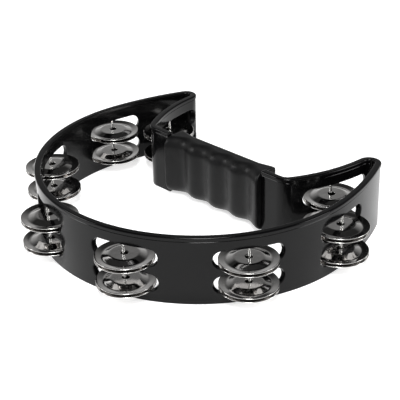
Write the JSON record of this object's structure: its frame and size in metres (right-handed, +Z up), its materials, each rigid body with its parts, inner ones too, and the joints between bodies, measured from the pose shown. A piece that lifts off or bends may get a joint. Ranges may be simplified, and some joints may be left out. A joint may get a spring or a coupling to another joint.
{
  "type": "tambourine",
  "caption": "Half-moon hand tambourine: crescent frame with two horns, a fluted rubber grip on its straight handle, and two rows of paired jingles sliding on pins in slots round the rim.",
  "frame": {"origin": "bottom face, under the middle of the bounding box of the whole object, jingles included", "axes": "+X along the handle towards the right horn, +Y from the round front towards the cutaway between the horns, +Z up with the frame lying flat on its plain edge"},
  "size_m": [0.2948, 0.2304, 0.0534],
  "materials": {
    "frame_plastic": "black moulded ABS, semi-gloss",
    "grip_rubber": "black soft rubber, matte",
    "pin_steel": "bright drawn steel wire",
    "jingle_metal": "dark bright nickel plate on sheet steel"
  },
  "bodies": {
    "frame": {"frame": "frame_plastic", "grip_sleeve": "grip_rubber", "left_horn_pin": "pin_steel", "left_rear_pin": "pin_steel", "left_side_pin": "pin_steel", "left_front_pin": "pin_steel", "right_front_pin": "pin_steel", "right_side_pin": "pin_steel", "right_rear_pin": "pin_steel", "right_horn_pin": "pin_steel"},
    "left_horn_upper_jingle_bottom": {"left_horn_upper_jingle_bottom": "jingle_metal"},
    "left_horn_upper_jingle_top": {"left_horn_upper_jingle_top": "jingle_metal"},
    "left_horn_lower_jingle_bottom": {"left_horn_lower_jingle_bottom": "jingle_metal"},
    "left_horn_lower_jingle_top": {"left_horn_lower_jingle_top": "jingle_metal"},
    "left_rear_upper_jingle_bottom": {"left_rear_upper_jingle_bottom": "jingle_metal"},
    "left_rear_upper_jingle_top": {"left_rear_upper_jingle_top": "jingle_metal"},
    "left_rear_lower_jingle_bottom": {"left_rear_lower_jingle_bottom": "jingle_metal"},
    "left_rear_lower_jingle_top": {"left_rear_lower_jingle_top": "jingle_metal"},
    "left_side_upper_jingle_bottom": {"left_side_upper_jingle_bottom": "jingle_metal"},
    "left_side_upper_jingle_top": {"left_side_upper_jingle_top": "jingle_metal"},
    "left_side_lower_jingle_bottom": {"left_side_lower_jingle_bottom": "jingle_metal"},
    "left_side_lower_jingle_top": {"left_side_lower_jingle_top": "jingle_metal"},
    "left_front_upper_jingle_bottom": {"left_front_upper_jingle_bottom": "jingle_metal"},
    "left_front_upper_jingle_top": {"left_front_upper_jingle_top": "jingle_metal"},
    "left_front_lower_jingle_bottom": {"left_front_lower_jingle_bottom": "jingle_metal"},
    "left_front_lower_jingle_top": {"left_front_lower_jingle_top": "jingle_metal"},
    "right_front_upper_jingle_bottom": {"right_front_upper_jingle_bottom": "jingle_metal"},
    "right_front_upper_jingle_top": {"right_front_upper_jingle_top": "jingle_metal"},
    "right_front_lower_jingle_bottom": {"right_front_lower_jingle_bottom": "jingle_metal"},
    "right_front_lower_jingle_top": {"right_front_lower_jingle_top": "jingle_metal"},
    "right_side_upper_jingle_bottom": {"right_side_upper_jingle_bottom": "jingle_metal"},
    "right_side_upper_jingle_top": {"right_side_upper_jingle_top": "jingle_metal"},
    "right_side_lower_jingle_bottom": {"right_side_lower_jingle_bottom": "jingle_metal"},
    "right_side_lower_jingle_top": {"right_side_lower_jingle_top": "jingle_metal"},
    "right_rear_upper_jingle_bottom": {"right_rear_upper_jingle_bottom": "jingle_metal"},
    "right_rear_upper_jingle_top": {"right_rear_upper_jingle_top": "jingle_metal"},
    "right_rear_lower_jingle_bottom": {"right_rear_lower_jingle_bottom": "jingle_metal"},
    "right_rear_lower_jingle_top": {"right_rear_lower_jingle_top": "jingle_metal"},
    "right_horn_upper_jingle_bottom": {"right_horn_upper_jingle_bottom": "jingle_metal"},
    "right_horn_upper_jingle_top": {"right_horn_upper_jingle_top": "jingle_metal"},
    "right_horn_lower_jingle_bottom": {"right_horn_lower_jingle_bottom": "jingle_metal"},
    "right_horn_lower_jingle_top": {"right_horn_lower_jingle_top": "jingle_metal"}
  },
  "joints": [
    {"name": "left_horn_upper_jingle_bottom_slide", "type": "slide", "parent": "frame", "child": "left_horn_upper_jingle_bottom", "axis": [0, 0, 1], "range_m": [0, 0.00375]},
    {"name": "left_horn_upper_jingle_top_slide", "type": "slide", "parent": "left_horn_upper_jingle_bottom", "child": "left_horn_upper_jingle_top", "axis": [0, 0, 1], "range_m": [0, 0.00375]},
    {"name": "left_horn_lower_jingle_bottom_slide", "type": "slide", "parent": "frame", "child": "left_horn_lower_jingle_bottom", "axis": [0, 0, 1], "range_m": [0, 0.00375]},
    {"name": "left_horn_lower_jingle_top_slide", "type": "slide", "parent": "left_horn_lower_jingle_bottom", "child": "left_horn_lower_jingle_top", "axis": [0, 0, 1], "range_m": [0, 0.00375]},
    {"name": "left_rear_upper_jingle_bottom_slide", "type": "slide", "parent": "frame", "child": "left_rear_upper_jingle_bottom", "axis": [0, 0, 1], "range_m": [0, 0.00375]},
    {"name": "left_rear_upper_jingle_top_slide", "type": "slide", "parent": "left_rear_upper_jingle_bottom", "child": "left_rear_upper_jingle_top", "axis": [0, 0, 1], "range_m": [0, 0.00375]},
    {"name": "left_rear_lower_jingle_bottom_slide", "type": "slide", "parent": "frame", "child": "left_rear_lower_jingle_bottom", "axis": [0, 0, 1], "range_m": [0, 0.00375]},
    {"name": "left_rear_lower_jingle_top_slide", "type": "slide", "parent": "left_rear_lower_jingle_bottom", "child": "left_rear_lower_jingle_top", "axis": [0, 0, 1], "range_m": [0, 0.00375]},
    {"name": "left_side_upper_jingle_bottom_slide", "type": "slide", "parent": "frame", "child": "left_side_upper_jingle_bottom", "axis": [0, 0, 1], "range_m": [0, 0.00375]},
    {"name": "left_side_upper_jingle_top_slide", "type": "slide", "parent": "left_side_upper_jingle_bottom", "child": "left_side_upper_jingle_top", "axis": [0, 0, 1], "range_m": [0, 0.00375]},
    {"name": "left_side_lower_jingle_bottom_slide", "type": "slide", "parent": "frame", "child": "left_side_lower_jingle_bottom", "axis": [0, 0, 1], "range_m": [0, 0.00375]},
    {"name": "left_side_lower_jingle_top_slide", "type": "slide", "parent": "left_side_lower_jingle_bottom", "child": "left_side_lower_jingle_top", "axis": [0, 0, 1], "range_m": [0, 0.00375]},
    {"name": "left_front_upper_jingle_bottom_slide", "type": "slide", "parent": "frame", "child": "left_front_upper_jingle_bottom", "axis": [0, 0, 1], "range_m": [0, 0.00375]},
    {"name": "left_front_upper_jingle_top_slide", "type": "slide", "parent": "left_front_upper_jingle_bottom", "child": "left_front_upper_jingle_top", "axis": [0, 0, 1], "range_m": [0, 0.00375]},
    {"name": "left_front_lower_jingle_bottom_slide", "type": "slide", "parent": "frame", "child": "left_front_lower_jingle_bottom", "axis": [0, 0, 1], "range_m": [0, 0.00375]},
    {"name": "left_front_lower_jingle_top_slide", "type": "slide", "parent": "left_front_lower_jingle_bottom", "child": "left_front_lower_jingle_top", "axis": [0, 0, 1], "range_m": [0, 0.00375]},
    {"name": "right_front_upper_jingle_bottom_slide", "type": "slide", "parent": "frame", "child": "right_front_upper_jingle_bottom", "axis": [0, 0, 1], "range_m": [0, 0.00375]},
    {"name": "right_front_upper_jingle_top_slide", "type": "slide", "parent": "right_front_upper_jingle_bottom", "child": "right_front_upper_jingle_top", "axis": [0, 0, 1], "range_m": [0, 0.00375]},
    {"name": "right_front_lower_jingle_bottom_slide", "type": "slide", "parent": "frame", "child": "right_front_lower_jingle_bottom", "axis": [0, 0, 1], "range_m": [0, 0.00375]},
    {"name": "right_front_lower_jingle_top_slide", "type": "slide", "parent": "right_front_lower_jingle_bottom", "child": "right_front_lower_jingle_top", "axis": [0, 0, 1], "range_m": [0, 0.00375]},
    {"name": "right_side_upper_jingle_bottom_slide", "type": "slide", "parent": "frame", "child": "right_side_upper_jingle_bottom", "axis": [0, 0, 1], "range_m": [0, 0.00375]},
    {"name": "right_side_upper_jingle_top_slide", "type": "slide", "parent": "right_side_upper_jingle_bottom", "child": "right_side_upper_jingle_top", "axis": [0, 0, 1], "range_m": [0, 0.00375]},
    {"name": "right_side_lower_jingle_bottom_slide", "type": "slide", "parent": "frame", "child": "right_side_lower_jingle_bottom", "axis": [0, 0, 1], "range_m": [0, 0.00375]},
    {"name": "right_side_lower_jingle_top_slide", "type": "slide", "parent": "right_side_lower_jingle_bottom", "child": "right_side_lower_jingle_top", "axis": [0, 0, 1], "range_m": [0, 0.00375]},
    {"name": "right_rear_upper_jingle_bottom_slide", "type": "slide", "parent": "frame", "child": "right_rear_upper_jingle_bottom", "axis": [0, 0, 1], "range_m": [0, 0.00375]},
    {"name": "right_rear_upper_jingle_top_slide", "type": "slide", "parent": "right_rear_upper_jingle_bottom", "child": "right_rear_upper_jingle_top", "axis": [0, 0, 1], "range_m": [0, 0.00375]},
    {"name": "right_rear_lower_jingle_bottom_slide", "type": "slide", "parent": "frame", "child": "right_rear_lower_jingle_bottom", "axis": [0, 0, 1], "range_m": [0, 0.00375]},
    {"name": "right_rear_lower_jingle_top_slide", "type": "slide", "parent": "right_rear_lower_jingle_bottom", "child": "right_rear_lower_jingle_top", "axis": [0, 0, 1], "range_m": [0, 0.00375]},
    {"name": "right_horn_upper_jingle_bottom_slide", "type": "slide", "parent": "frame", "child": "right_horn_upper_jingle_bottom", "axis": [0, 0, 1], "range_m": [0, 0.00375]},
    {"name": "right_horn_upper_jingle_top_slide", "type": "slide", "parent": "right_horn_upper_jingle_bottom", "child": "right_horn_upper_jingle_top", "axis": [0, 0, 1], "range_m": [0, 0.00375]},
    {"name": "right_horn_lower_jingle_bottom_slide", "type": "slide", "parent": "frame", "child": "right_horn_lower_jingle_bottom", "axis": [0, 0, 1], "range_m": [0, 0.00375]},
    {"name": "right_horn_lower_jingle_top_slide", "type": "slide", "parent": "right_horn_lower_jingle_bottom", "child": "right_horn_lower_jingle_top", "axis": [0, 0, 1], "range_m": [0, 0.00375]}
  ]
}
